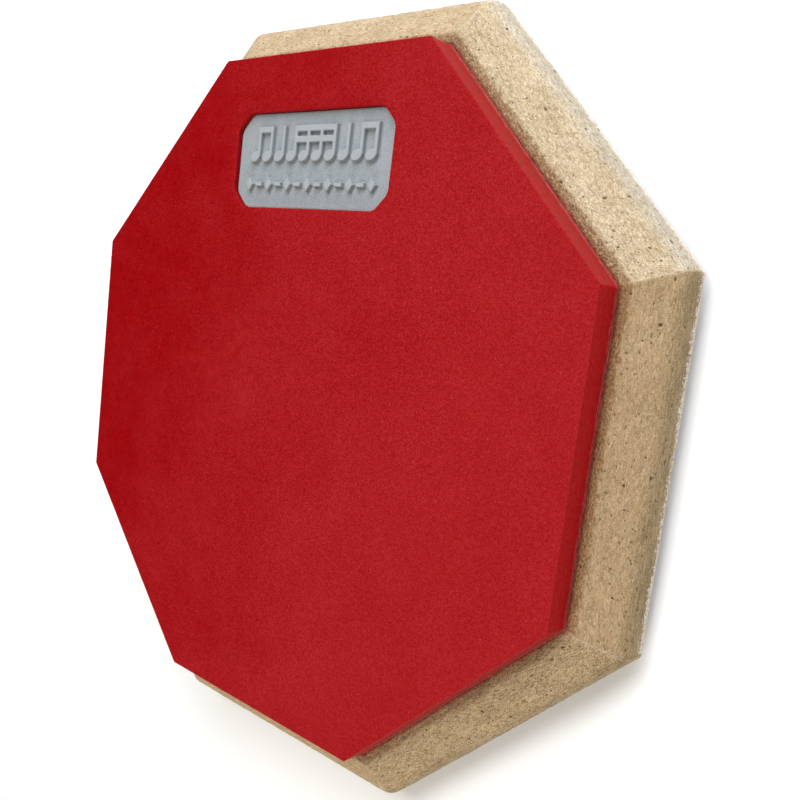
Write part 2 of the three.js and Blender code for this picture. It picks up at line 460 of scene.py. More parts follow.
def relief_marks(at):
    """Each raised mark of the badge: a row of notes above a row of lozenges and dashes."""
    x = -(sum(NOTE_GROUPS) - 1) * NOTE_PITCH / 2
    for count in NOTE_GROUPS:
        yield from note_group(at, x, count)
        x += count * NOTE_PITCH
    for i in range(MARK_COUNT):
        outline, size = (lozenge, LOZENGE_SIZE) if i % 2 == 0 else (bar, DASH_SIZE)
        yield outline(at, (i - (MARK_COUNT - 1) / 2) * MARK_PITCH, MARK_CENTRE_Y, *size)


def relief_depth(at):
    """How far inside the raised marks of the badge each point is, negative outside them."""
    depth = np.full(len(at), -1.0)
    for mark in relief_marks(at - BADGE_CENTRE):
        depth = np.maximum(depth, mark)
    return depth


# ---------------------------------------------------------------------------------------------------------
# Pieces


def board_band():
    """The board's surface before wear: rear face, rim, bevel and bare strip, to just under the rubber."""
    rim, rubber = BOARD_HIGH.x, RUBBER_HIGH.x
    land = rubber + LAND_WIDTH
    low, high = BOARD_LOW.z, BOARD_HIGH.z
    path = rounded_path(
        [
            (FOAM_HIGH.x - HIDDEN_LAP, low, 0),
            (rim, low, REAR_ARRIS),
            (rim, high - BEVEL_DEPTH, RIM_ARRIS),
            (land, high, FRONT_ARRIS),
            (rubber - HIDDEN_LAP, high, 0),
        ],
        BOARD_STEP,
    )
    share = smooth_step(land, rim, path[:, 0])[:, None]
    return Band(path, LAND_CORNER + (RIM_CORNERS - LAND_CORNER) * share, BOARD_STEP)


def board_edges(flat, height):
    """How far each point of the board is on the rim and on the raw fringe along the rear edge, and the noise
    that frays the fringe. height runs from 0 at the rear face to 1 at the front."""
    wander = fractal(flat, (16 * MM, 5 * MM), SEED_BOARD)
    frayed = fractal(flat, (1.4 * MM, 1.0 * MM), SEED_BOARD + 60, 3) / 1.75
    rim = 1 - smooth_step(0.48, 0.68, height + 0.02 * wander)
    fringe = 1 - smooth_step(0.04, 0.27, height + 0.03 * wander + 0.06 * frayed)
    return rim, fringe, frayed


def board_relief(flat, rim, fringe, frayed):
    """How many millimetres each point of the board is worn in, and how far it is in a pit."""
    raw = smooth_step(0.45, 0.65, fringe + 0.3 * frayed)
    hole = pits(flat, 5 * MM, SEED_BOARD + 10, 0.33, (0.15 * MM, 0.48 * MM))
    small_hole = pits(flat, 1.5 * MM, SEED_BOARD + 20, 0.3, (0.14 * MM, 0.3 * MM))
    hole = np.maximum(hole, 0.6 * small_hole) * (1 - raw)
    fibre = fractal(flat, (2.2 * MM, 0.55 * MM), SEED_BOARD + 30, 2) / 1.5
    grain = fractal(flat, (0.8 * MM, 0.6 * MM), SEED_BOARD + 35, 2) / 1.5
    sway = fractal(flat, (34 * MM, 9 * MM), SEED_BOARD + 40, 2) / 1.5
    depth = 0.05 * (1 + fibre) + 0.05 * (1 + grain) * (1 - raw) + 0.09 * (1 + sway)
    depth = depth + 0.45 * hole + 0.1 * rim * (1 + fibre) * (1 - raw) + 0.15 * raw * (1 + frayed)
    return depth, hole


def board_stain(flat, from_rubber):
    """How stained the bare strip is, and how much painted shade each point gets at the foot of the rubber.
    """
    ragged = fractal(flat, (1.3 * MM, 0.8 * MM), SEED_BOARD + 50, 3) / 1.75
    stain = smooth_step(LAND_WIDTH + 0.6 * MM, LAND_WIDTH - 0.9 * MM, from_rubber + 1.4 * MM * ragged)
    # Painted shade: a red-brown darkening of the board within 1.5 mm of the rubber's foot.
    seam = smooth_step(1.5 * MM, 0, from_rubber + 0.4 * MM * ragged)
    return stain, seam


def mitre_lines(at, frayed):
    """How far each point is on one of the worn lines where two sides of the board meet."""
    turn = np.arctan2(at[:, 1], at[:, 0]) / TURN - 0.5
    from_mitre = np.hypot(at[:, 0], at[:, 1]) * np.abs(np.sin((turn - np.round(turn)) * TURN))
    return np.exp(-((from_mitre / (0.3 * MM)) ** 2)) * (0.6 + 0.4 * frayed)


def build_board():
    """Raw chipboard with worn arrises, chips, pits, a stain round the rubber that is partly painted shade,
    and a raw rear edge.
    """
    low, high = BOARD_LOW.z, BOARD_HIGH.z
    band = board_band()
    flat, at = band.flat(), band.solid()
    height = (at[:, 2] - low) / (high - low)
    from_rubber = BOARD_HIGH.x - inside_octagon(at[:, :2], BOARD_HIGH.x) - RUBBER_HIGH.x
    shown = smooth_step(0, 1.2 * MM, flat[:, 1]) * smooth_step(0, 1.5 * MM, from_rubber)
    rim, fringe, frayed = board_edges(flat, height)
    depth, hole = board_relief(flat, rim, fringe, frayed)
    stain, seam = board_stain(flat, from_rubber)
    front = height > 0.5
    paint = {
        "hole": hole,
        "rim": rim,
        "grime": rim * band.side(RIM_GRIME),
        "fringe": fringe * band.side(FRINGE),
        "stain": stain * band.side(LAND_STAIN) * front,
        "seam": seam * front,
        "mitre": mitre_lines(at, frayed),
        # pale is painted light: the cut is made paler on the sides that face the key light.
        "pale": band.side(CUT_PAINTED_LIGHT),
        "coarse": band.side(CUT_COARSE),
    }
    band.push(-depth * shown * MM)
    return make_mesh("chipboard_base", *band.closed(low, high), flat, paint)


def rubber_band():
    """The rubber's sides, with the cut a little hollow and a ragged burr along the back, and the arris of
    its face. Also gives how far each point is on a side and how far on the burr."""
    to_flat, low, high = RUBBER_HIGH.x, RUBBER_LOW.z, RUBBER_HIGH.z
    section = [(to_flat, low, 0), (to_flat, high, RUBBER_ARRIS), (to_flat - FACE_RIM, high, 0)]
    path = rounded_path(section, 0.3 * MM)
    path = np.concatenate([[(to_flat - 0.5 * MM, low)], path])
    share = ((path[:, 1] - low) / (high - low))[:, None]
    corners = BACK_CORNERS + (FACE_CORNER - BACK_CORNERS) * np.sqrt(share)
    band = Band(path, corners, RUBBER_STEP, corner_steps=10)
    flat = band.flat()
    height = np.tile(share, (1, band.columns)).ravel()
    wall = 1 - smooth_step(0.91, 0.99, height)
    saw = fractal(flat, (9 * MM, 0.7 * MM), SEED_RUBBER) / 1.75
    tear = fractal(flat, (1.2 * MM, 0.9 * MM), SEED_RUBBER + 5, 2) / 1.5
    torn = fractal(flat, (1.9 * MM, 9 * MM), SEED_RUBBER + 9) / 1.75
    burr = 1 - smooth_step(0.04, 0.10, height + 0.04 * torn)
    depth = wall * (SIDE_DEPTH + 0.05 * MM * saw + 0.04 * MM * tear) * (1 - burr * (0.75 + 0.25 * torn))
    depth = depth + 0.25 * MM * burr * np.clip(torn, 0, 1)
    band.push(-depth)
    return band, wall, burr


def window_rings(low, high):
    """Rings of points up the walls of the badge's window, ending where the rubber's face begins."""
    window = clipped_loop(WINDOW_FIT, RUBBER_STEP)
    outward = window - window.mean(0)
    outward /= np.linalg.norm(outward, axis=1, keepdims=True)
    arris = ((0.12, 0.5), (0.5, 0.12), (1, 0))
    rings = [(0.0, z) for z in np.linspace(low, high - WINDOW_ARRIS, 14)]
    rings += [(out * WINDOW_ARRIS, high - down * WINDOW_ARRIS) for out, down in arris]
    return [np.column_stack([window + outward * out, np.full(len(window), z)]) for out, z in rings]


def in_from_face(at):
    """How far in from the edges of the rubber's own face each point is."""
    return np.minimum(inside_octagon(at, RUBBER_HIGH.x - FACE_RIM), -inside_clipped(at, WINDOW_ARRIS))


def build_rubber():
    """The sheet of red rubber: a nearly flat face with the badge's window in it, cut sides, a flat back."""
    low, high = RUBBER_LOW.z, RUBBER_HIGH.z
    band, wall, burr = rubber_band()
    rings = window_rings(low, high)
    sides, window = band.solid(), np.concatenate(rings)
    outer, hole = band.columns, len(rings[0])

    edges = [sides[-outer:, :2], rings[-1][:, :2]]
    face, face_triangles = sheet_of(edges, FACE_STEP, in_from_face)
    face = face[outer + hole :]
    swell = 0.03 * MM * (fractal(face, 22 * MM, SEED_RUBBER + 14, 2) / 1.5 - 1)
    face = np.column_stack([face, high + swell * smooth_step(0, 8 * MM, in_from_face(face))])
    edges = [sides[:outer, :2], rings[0][:, :2]]
    back, back_triangles = sheet_of(edges, BACK_STEP, in_from_face)
    back = back[outer + hole :]
    back = np.column_stack([back, np.full(len(back), low)])

    points = np.concatenate([sides, window, face, back])
    parts = np.split(np.arange(len(points)), np.cumsum([len(sides), len(window), len(face)]))
    front = np.concatenate([parts[0][-outer:], parts[1][-hole:], parts[2]])
    rear = np.concatenate([parts[0][:outer], parts[1][:hole], parts[3]])
    window_walls = tube_faces(parts[1].reshape(-1, hole))[:, ::-1]
    faces = [*band.faces(), *front[face_triangles], *rear[back_triangles][:, ::-1], *window_walls]
    flat = np.concatenate([band.flat(), points[len(sides) :, :2]])
    # arris carries a painted highlight: a lighter red line along the arris of the face.
    paint = {"wall": wall, "burr": burr, "dust": band.side(SIDE_DUST) * wall, "arris": 4 * wall * (1 - wall)}
    return make_mesh("rubber_surface", points, faces, flat, paint)


def badge_sides(face):
    """Rings of points up the sides of the badge and over its arris to its face."""
    outline = clipped_loop(0, 0.4 * MM)
    outward = outline - outline.mean(0)
    outward = outward / np.linalg.norm(outward, axis=1, keepdims=True)
    arris = [(0.0, 1.0), (0.05, 0.55), (0.2, 0.2), (0.5, 0.03), (0.9, 0.0)]
    rings = [(0.0, z) for z in np.linspace(BADGE_LOW.z, face - 1 * MM, 6)]
    rings += [(inwards * BADGE_ARRIS, face - down * BADGE_ARRIS) for inwards, down in arris]
    return [np.column_stack([outline - outward * inwards, np.full(len(outline), z)]) for inwards, z in rings]


def in_from_arris(at):
    """How far in from where the badge's arris ends each point is."""
    return inside_clipped(at, -0.9 * BADGE_ARRIS)


def build_badge():
    """The moulded plate: a fine height field for its face, with soft-edged raised marks, and plain sides."""
    face = BADGE_HIGH.z - RELIEF_HEIGHT
    rings = badge_sides(face)
    sides, count = np.concatenate(rings), len(rings[0])
    sheet, triangles = sheet_of([rings[-1][:, :2]], BADGE_STEP, in_from_arris)
    new = sheet[count:]
    depth = relief_depth(new)
    raised = smooth_step(-RELIEF_DRAFT / 2, RELIEF_DRAFT / 2, depth)
    fine, broad = fractal(new, 0.6 * MM, SEED_BADGE, 2), fractal(new, 6 * MM, SEED_BADGE + 5, 2)
    bump = (0.008 * fine + 0.02 * broad - 0.045) * smooth_step(0, 1 * MM, in_from_arris(new))
    new = np.column_stack([new, face + raised * RELIEF_HEIGHT + bump * MM])

    middle = (*rings[0].mean(0)[:2], BADGE_LOW.z)
    points = np.concatenate([sides, new, [middle]])
    walls = np.arange(len(sides)).reshape(-1, count)
    number = np.concatenate([walls[-1], len(sides) + np.arange(len(new))])
    faces = [*tube_faces(walls), *number[triangles], *cap(walls[0], len(points) - 1, upwards=False)]
    top = smooth_step(RELIEF_DRAFT * 0.3, RELIEF_DRAFT, depth)
    # foot is painted shade: it darkens the marks' sloping sides and the plate just round them.
    near = 0.4 * smooth_step(-1.1 * MM, -0.1 * MM, depth)
    foot = np.maximum(near, 4 * raised * (1 - raised)) * (1 - top)
    none = np.zeros(len(sides))
    paint = {"top": np.concatenate([none, top]), "foot": np.concatenate([none, foot])}
    return make_mesh("badge_plate", points, faces, points[:, :2], paint)


def build_glue():
    """A film of glue under the rubber, squeezed out past it in an uneven line that thins to nothing. The
    line's dark colour is partly painted shade at the rubber's foot.
    """
    low, high = GLUE_LOW.z, GLUE_HIGH.z
    edge = RUBBER_HIGH.x
    shares = np.array([0, 0, 0, 0.45, 0.8, 1, 0.95, 0])
    outs = np.array([-HIDDEN_LAP, -0.6 * MM, -0.2 * MM, 0, 0, 0, 0, -HIDDEN_LAP]) + edge
    heights = low + (high - low) * np.array([1, 1, 0.9, 0.7, 0.4, 0.12, 0, 0])
    path = np.column_stack([outs, heights])[::-1]
    corners = np.tile(BACK_CORNERS + 0.2 * MM, (len(path), 1))
    band = Band(path, corners, RUBBER_STEP, corner_steps=10)
    run = np.column_stack([band.run[0], np.zeros(band.columns)])
    reach = 0.05 + 0.25 * fractal(run, 9 * MM, SEED_GLUE) + 0.15 * fractal(run, 1.8 * MM, SEED_GLUE + 5)
    reach = np.clip(reach, 0.02, 0.95) * (GLUE_HIGH.x - edge)
    outward = band.points[0, :, :2] / np.linalg.norm(band.points[0, :, :2], axis=1, keepdims=True)
    band.points[:, :, :2] += outward * shares[::-1, None, None] * reach[:, None]
    return make_mesh("glue_line", *band.closed(low, high), band.flat())


def foam_band():
    """The foam's sides, with open cells, and the arrises above and below them."""
    to_flat, low, high = FOAM_HIGH.x, FOAM_LOW.z, FOAM_HIGH.z
    path = rounded_path(
        [
            (to_flat - FOAM_RIM, low, 0),
            (to_flat, low, 0.5 * MM),
            (to_flat, high, 0.4 * MM),
            (to_flat - HIDDEN_LAP, high, 0),
        ],
        0.3 * MM,
    )
    band = Band(path, np.full((len(path), SIDES), FOAM_CORNER), FOAM_STEP)
    flat = band.flat()
    height = (band.solid()[:, 2] - low) / (high - low)
    side = smooth_step(0.02, 0.2, height) * smooth_step(0, 0.5 * MM, flat[:, 1].max() - flat[:, 1])
    cell = pits(flat, 0.9 * MM, SEED_FOAM, 0.8, (0.25 * MM, 0.5 * MM))
    sway = fractal(flat, (25 * MM, 8 * MM), SEED_FOAM + 9, 2)
    band.push(-(side * (0.14 * cell + 0.12 * (1 + sway / 1.5))) * MM)
    return band


def in_from_foam(at):
    """How far in from the edge of the foam's own underside each point is."""
    return inside_octagon(at, FOAM_HIGH.x - FOAM_RIM)


def build_foam():
    """The foam sheet: cut sides with open cells and a dimpled skin underneath."""
    band = foam_band()
    points = band.solid()
    sheet, triangles = sheet_of([points[: band.columns, :2]], FOAM_FACE_STEP, in_from_foam)
    new = sheet[band.columns :]
    dimple = pits(new, 3.1 * MM, SEED_FOAM + 20, 0.9, (0.8 * MM, 1.5 * MM))
    dimple = dimple * smooth_step(0, 3 * MM, in_from_foam(new))
    new = np.column_stack([new, FOAM_LOW.z + 0.15 * MM * dimple])
    ring = np.arange(band.columns)
    number = np.concatenate([ring, len(points) + np.arange(len(new))])
    above = cap(ring + (band.rows - 1) * band.columns, len(points) + len(new), upwards=True)
    faces = [*band.faces(), *number[triangles][:, ::-1], *above]
    flat = np.concatenate([band.flat(), new[:, :2], [(0, 0)]])
    points = np.concatenate([points, new, [(0, 0, FOAM_HIGH.z)]])
    return make_mesh("foam_sheet", points, faces, flat)


# ---------------------------------------------------------------------------------------------------------
# Materials


class Paint:
    """A material being put together from nodes."""

    def __init__(self, name, specular):
        self.material = bpy.data.materials.new(name)
        self.material.use_nodes = True
        self.tree = self.material.node_tree
        self.shader = next(n for n in self.tree.nodes if n.type == "BSDF_PRINCIPLED")
        self.shader.inputs["Specular IOR Level"].default_value = specular

    def node(self, kind, inputs=(), **settings):
        """A new node. inputs has a number, colour or socket for each input that is to be set."""
        made = self.tree.nodes.new(kind)
        for key, value in settings.items():
            setattr(made, key, value)
        for key, value in dict(inputs).items():
            self.give(made.inputs[key], value)
        return made

    def give(self, socket, value):
        """Feeds an input from another node's socket, or sets it to a plain value."""
        if isinstance(value, bpy.types.NodeSocket):
            self.tree.links.new(value, socket)
        else:
            socket.default_value = value

    def flat(self, scale=(1, 1)):
        """Surface coordinates in millimetres, divided by scale."""
        source = self.node("ShaderNodeUVMap", uv_map="flat").outputs[0]
        return self.scaled(source, (1 / MM / scale[0], 1 / MM / scale[1], 0))

    def solid(self, scale=1):
        """Coordinates in the object in millimetres, divided by scale."""
        source = self.node("ShaderNodeTexCoord").outputs["Object"]
        return self.scaled(source, (1 / MM / scale,) * 3)

    def scaled(self, source, by):
        return self.node("ShaderNodeVectorMath", {0: source, 1: by}, operation="MULTIPLY").outputs[0]

    def noise(self, vector, detail=2, rough=0.5):
        inputs = {"Vector": vector, "Scale": 1, "Detail": detail, "Roughness": rough}
        return self.node("ShaderNodeTexNoise", inputs).outputs["Fac"]

    def cells(self, vector):
        """Random cells: outputs for the colour of each one and the distance from its centre."""
        return self.node("ShaderNodeTexVoronoi", {"Vector": vector, "Scale": 1}).outputs

    def channels(self, colour):
        """Red, green and blue."""
        return self.node("ShaderNodeSeparateColor", {"Color": colour}).outputs

    def painted(self, key):
        """One of the named numbers that make_mesh keeps for each vertex."""
        return self.node("ShaderNodeAttribute", attribute_name=key).outputs["Fac"]

    def range(self, value, low, high, to_low=0.0, to_high=1.0):
        """From to_low where value is low to to_high where it is high, and no further either way."""
        settings = {"Value": value, "From Min": low, "From Max": high, "To Min": to_low, "To Max": to_high}
        return self.node("ShaderNodeMapRange", settings).outputs[0]

    def times(self, a, b):
        return self.node("ShaderNodeMath", {0: a, 1: b}, operation="MULTIPLY").outputs[0]

    def plus(self, a, b):
        return self.node("ShaderNodeMath", {0: a, 1: b}, operation="ADD").outputs[0]

    def mix(self, share, a, b, blend="MIX"):
        """From colour a, where share is 0, to colour b, where it is 1."""
        made = self.node("ShaderNodeMix", data_type="RGBA", blend_type=blend)
        for i, value in ((0, share), (6, a), (7, b)):
            if not isinstance(value, bpy.types.NodeSocket) and i > 0:
                value = (*value, 1)
            self.give(made.inputs[i], value)
        return made.outputs[2]

    def tint(self, share, colour, by):
        """colour, multiplied by another to that share."""
        return self.mix(share, colour, self.mix(1.0, colour, by, "MULTIPLY"))

    def bump(self, height, distance, strength):
        inputs = {"Height": height, "Distance": distance, "Strength": strength}
        self.give(self.shader.inputs["Normal"], self.node("ShaderNodeBump", inputs).outputs[0])

    def finish(self, colour, roughness):
        self.give(self.shader.inputs["Base Color"], colour)
        self.give(self.shader.inputs["Roughness"], roughness)
        return self.material


def cut_tone(paint, fibre, grain):
    """How light each bit of the cut is, from about 0 to about 1. A coarser cut varies more."""
    coarse = paint.painted("coarse")
    chip = paint.channels(paint.cells(paint.flat((1.3, 0.6)))["Color"])[0]
    grit = paint.range(paint.noise(paint.flat((0.34, 0.3)), detail=1), 0.2, 0.8, -0.5, 0.5)
    grit = paint.times(grit, paint.range(coarse, 1, 2.1))
    tone = paint.plus(paint.times(chip, 0.22), paint.plus(paint.times(fibre, 0.5), paint.times(grain, 1.4)))
    tone = paint.range(tone, 0.72, 1.42, -0.5, 0.5)
    return paint.plus(paint.plus(paint.times(tone, coarse), paint.times(grit, 2.0)), 0.5)


def cut_strands(paint, pale):
    """How far each point is on a pale strand of wood, lying along the cut or across it."""
    along = paint.range(paint.noise(paint.flat((1.3, 0.2)), detail=1), 0.62, 0.7)
    across = paint.range(paint.noise(paint.flat((0.3, 0.8)), detail=1), 0.64, 0.72)
    # The strands show more where the painted light makes the cut paler.
    return paint.times(paint.plus(along, across), paint.range(pale, 0, 1, 0.2, 0.75))


def with_rim(paint, colour, pale, grain, cloud):
    """colour, with the rim's pale grains, painted light on the rim of the sides that face the key light, and
    its grime, which lies in clouds and streaks.
    """
    rim, grime = paint.painted("rim"), paint.painted("grime")
    # Painted light: the rim is paler and bluer where its side faces the key light.
    colour = paint.tint(paint.times(rim, pale), colour, (0.97, 1.06, 1.26))
    grains = paint.times(rim, paint.range(grain, 0.58, 0.68, 0.0, 0.35))
    colour = paint.mix(grains, colour, (0.74, 0.66, 0.52))
    colour = paint.tint(grime, colour, (0.93, 0.95, 0.90))
    clouds = paint.times(grime, paint.range(cloud, 0.38, 0.62, 0.5, 1.3))
    streak = paint.range(paint.noise(paint.flat((9, 0.35)), detail=3), 0.42, 0.6)
    return paint.tint(paint.times(clouds, streak), colour, (0.67, 0.66, 0.61))


def with_fringe(paint, colour, grain):
    """colour, with raw pale fibre along the rear edge, which breaks up into tufts."""
    raw = paint.mix(paint.range(grain, 0.38, 0.6), (0.42, 0.34, 0.235), (0.93, 0.87, 0.745))
    tuft = paint.range(paint.noise(paint.flat((1.0, 0.55)), detail=3, rough=0.7), 0.36, 0.64, -0.7, 0.5)
    share = paint.range(paint.plus(paint.painted("fringe"), tuft), 0.42, 0.72)
    return paint.mix(share, colour, raw)


def with_stain(paint, colour):
    """colour, with the patchy stain on the bare strip, which is partly painted shade, and painted red-brown
    shade along the rubber's foot.
    """
    patch = paint.noise(paint.flat((0.8, 0.5)), detail=3, rough=0.6)
    patch = paint.times(paint.painted("stain"), paint.range(patch, 0.4, 0.6, 0.35, 1.1))
    # The stain is partly painted shade beside the rubber.
    colour = paint.tint(patch, colour, (0.50, 0.37, 0.21))
    # Painted shade along the rubber's foot, tinted red-brown.
    return paint.tint(paint.painted("seam"), colour, (0.58, 0.11, 0.08))


def with_specks(paint, colour, pale):
    """colour, with dark specks in clusters, which are larger where the painted light makes the cut paler."""
    speck = paint.cells(paint.flat((1.9, 1.5)))
    rare = paint.channels(speck["Color"])[1]
    cluster = paint.range(paint.noise(paint.flat((9, 9)), detail=1), 0.42, 0.62, 0.35, 1.6)
    size = paint.times(paint.range(rare, 0.6, 1.0, 0.0, 0.17), cluster)
    size = paint.times(size, paint.range(pale, 0, 1, 0.95, 1.3))
    near = paint.node("ShaderNodeMath", {0: speck["Distance"], 1: size}, operation="LESS_THAN").outputs[0]
    return paint.mix(paint.times(near, 0.88), colour, (0.095, 0.055, 0.03))


def chipboard():
    """Raw chipboard: chips, fibres, flecks, strands and specks, with dark pits in painted shade, pale
    mitres, the wear that each side has, and painted light that makes the sides facing the key light paler."""
    paint = Paint("chipboard", specular=0.3)
    # pale is the painted light that makes the sides facing the key light paler.
    pale = paint.painted("pale")
    fibre = paint.noise(paint.flat((1.5, 0.4)), detail=3)
    grain = paint.noise(paint.flat((0.3, 0.26)), detail=3, rough=0.6)
    cloud = paint.noise(paint.flat((12, 7)), detail=2)
    tone = cut_tone(paint, fibre, grain)
    colour = paint.mix(tone, (0.200, 0.119, 0.052), (0.575, 0.403, 0.220))
    fleck = paint.channels(paint.cells(paint.flat((0.55, 0.32)))["Color"])[0]
    colour = paint.mix(paint.range(fleck, 0.7, 0.95, 0.0, 0.3), colour, (0.67, 0.51, 0.335))
    # Painted light: the sides that face the key light are made paler and bluer.
    colour = paint.tint(pale, colour, (1.10, 1.24, 1.43))
    colour = paint.mix(cut_strands(paint, pale), colour, (0.82, 0.71, 0.52))
    colour = paint.tint(paint.range(cloud, 0.3, 0.7), colour, (0.87, 0.85, 0.80))
    colour = with_rim(paint, colour, pale, grain, cloud)
    colour = paint.mix(paint.times(paint.painted("mitre"), 0.45), colour, (0.66, 0.56, 0.40))
    colour = with_fringe(paint, colour, grain)
    colour = with_stain(paint, colour)
    colour = with_specks(paint, colour, pale)
    # Painted shade: the insides of the pits are darkened by their depth.
    hole = paint.range(paint.painted("hole"), 0.15, 0.5, 0.0, 0.8)
    colour = paint.mix(hole, colour, (0.095, 0.053, 0.026))
    paint.bump(paint.plus(paint.times(grain, 0.8), paint.times(fibre, 0.8)), 0.2 * MM, 0.8)
    return paint.finish(colour, paint.range(tone, 0, 1, 0.92, 0.72))


def with_played_patch(paint, colour, cloud, mottle):
    """colour, with the ragged paler patch near the middle where sticks have landed."""
    centre = {0: paint.solid(), 1: (-22, 2, 0)}
    away = paint.node("ShaderNodeVectorMath", centre, operation="DISTANCE").outputs["Value"]
    away = paint.plus(away, paint.range(cloud, 0.3, 0.7, -14, 14))
    played = paint.times(paint.range(away, 18, 42, 1, 0), paint.range(mottle, 0.3, 0.7, 0.3, 1.0))
    return paint.mix(paint.times(played, 0.7), colour, (0.345, 0.018, 0.020))


def red_face(paint, speckle):
    """The rubber's face: paler and less speckled towards +X under a painted sheen, with mottling, the played
    patch and dust.
    """
    cloud = paint.noise(paint.solid(15), detail=3, rough=0.55)
    mottle = paint.noise(paint.solid(3.5), detail=2)
    place = paint.node("ShaderNodeSeparateXYZ", {"Vector": paint.solid()}).outputs
    across = paint.plus(place[0], paint.times(place[1], -0.35))
    across = paint.plus(across, paint.range(paint.noise(paint.solid(40)), 0.3, 0.7, -30, 30))
    # worn is a painted sheen: the face gets paler and greyer towards +X and -Y.
    worn = paint.plus(paint.range(across, -80, 50, 0, 0.85), paint.range(cloud, 0.3, 0.7, -0.1, 0.2))
    colour = paint.mix(worn, (0.214, 0.0003, 0.0010), (0.290, 0.0065, 0.0080))
    colour = paint.mix(paint.range(mottle, 0.35, 0.7, 0.0, 0.15), colour, (0.34, 0.012, 0.014))
    colour = with_played_patch(paint, colour, cloud, mottle)
    # The speckle fades where the painted sheen is strongest.
    grainy = paint.range(across, -30, 80, 1.0, 0.6)
    bright = paint.mix(worn, (0.37, 0.003, 0.006), (0.43, 0.030, 0.036))
    colour = paint.mix(paint.times(grainy, paint.range(speckle, 0.46, 0.68)), colour, bright)
    dark = paint.times(grainy, paint.range(speckle, 0.28, 0.46, 1.0, 0.0))
    colour = paint.mix(dark, colour, (0.165, 0.0004, 0.0010))
    dust = paint.cells(paint.solid(2.9))["Distance"]
    return paint.mix(paint.range(dust, 0.03, 0.085, 0.35, 0.0), colour, (0.48, 0.12, 0.11))


def red_cut(paint, scuff):
    """The rubber's cut sides: scuffed, with dirt where the scuffs hold it."""
    colour = paint.mix(paint.range(scuff, 0.4, 0.7), (0.395, 0.002, 0.0035), (0.50, 0.012, 0.014))
    dusty = paint.times(paint.painted("dust"), paint.range(scuff, 0.44, 0.56, 0.0, 1.2))
    return paint.mix(dusty, colour, (0.20, 0.030, 0.025))


def red_rubber():
    """Red rubber: its face, a painted highlight along the arris, its cut sides and a paler frayed burr along
    the back.
    """
    paint = Paint("red_rubber", specular=0.05)
    wall = paint.painted("wall")
    speckle = paint.noise(paint.solid(0.42), detail=3, rough=0.8)
    scuff = paint.noise(paint.flat((1.5, 0.5)), detail=4, rough=0.75)
    colour = red_face(paint, speckle)
    # Painted highlight: a lighter red line along the face's arris.
    colour = paint.mix(paint.times(paint.painted("arris"), 0.22), colour, (0.42, 0.045, 0.048))
    colour = paint.mix(wall, colour, red_cut(paint, scuff))
    lint = paint.noise(paint.flat((1.6, 0.5)), detail=3, rough=0.7)
    frayed = paint.times(paint.painted("burr"), paint.range(lint, 0.42, 0.6, 0.15, 0.9))
    colour = paint.mix(frayed, colour, (0.50, 0.095, 0.09))
    paint.bump(paint.plus(speckle, paint.times(scuff, paint.times(wall, 1.5))), 0.05 * MM, 0.9)
    return paint.finish(colour, paint.range(speckle, 0.3, 0.7, 0.46, 0.66))


def grey_rubber():
    """Moulded grey rubber, rubbed lighter on top of the raised marks, with painted shade on their sides and
    round their feet.
    """
    paint = Paint("grey_rubber", specular=0.35)
    cloud = paint.noise(paint.solid(5), detail=3)
    speckle = paint.noise(paint.solid(0.45), detail=3, rough=0.65)
    colour = paint.mix(paint.range(cloud, 0.3, 0.7), (0.232, 0.252, 0.264), (0.266, 0.285, 0.296))
    colour = paint.mix(paint.range(speckle, 0.4, 0.7, 0.0, 0.6), colour, (0.35, 0.37, 0.38))
    colour = paint.mix(paint.range(speckle, 0.25, 0.45, 0.6, 0.0), colour, (0.18, 0.195, 0.205))
    colour = paint.mix(paint.times(paint.painted("top"), 0.5), colour, (0.36, 0.38, 0.385))
    # Painted shade on the marks' sides and round their feet.
    colour = paint.mix(paint.times(paint.painted("foot"), 0.75), colour, (0.13, 0.142, 0.153))
    paint.bump(speckle, 0.05 * MM, 0.7)
    return paint.finish(colour, paint.range(speckle, 0.3, 0.7, 0.55, 0.7))


def dried_glue():
    """Contact glue, in a dark red-brown that is painted shade at the rubber's foot."""
    paint = Paint("dried_glue", specular=0.15)
    cloud = paint.noise(paint.solid(1.2), detail=4, rough=0.65)
    # Painted shade: the dark red-brown stands for the shade at the rubber's foot.
    colour = paint.mix(paint.range(cloud, 0.35, 0.65), (0.20, 0.034, 0.021), (0.34, 0.080, 0.050))
    paint.bump(cloud, 0.15 * MM, 0.8)
    return paint.finish(colour, paint.range(cloud, 0.3, 0.7, 0.6, 0.8))


def dark_foam():
    """Nearly black foam with fine cells."""
    paint = Paint("dark_foam", specular=0.3)
    cell = paint.cells(paint.solid(0.7))["Distance"]
    cloud = paint.noise(paint.solid(6), detail=2)
    colour = paint.mix(paint.range(cell, 0.1, 0.6), (0.012, 0.012, 0.013), (0.045, 0.045, 0.048))
    colour = paint.mix(paint.range(cloud, 0.3, 0.7, 0.0, 0.4), colour, (0.06, 0.06, 0.062))
    paint.bump(cell, 0.2 * MM, 0.8)
    return paint.finish(colour, paint.range(cell, 0, 0.7, 0.95, 0.8))


def pale_floor():
    """Pale and matt. Well away from the pad it fades into the surround, so that no view has a horizon."""
    paint = Paint("floor", specular=0.1)
    away = paint.node("ShaderNodeVectorMath", {0: paint.solid()}, operation="LENGTH").outputs["Value"]
    paint.give(paint.shader.inputs["Alpha"], paint.range(away, *FLOOR_FADE, 1, 0))
    return paint.finish(FLOOR_COLOUR, 0.9)


def unfading_floor():
    """Like the pale floor, without the fading."""
    return Paint("floor_beyond", specular=0.1).finish(FLOOR_COLOUR, 0.9)


# ---------------------------------------------------------------------------------------------------------
# Putting it together


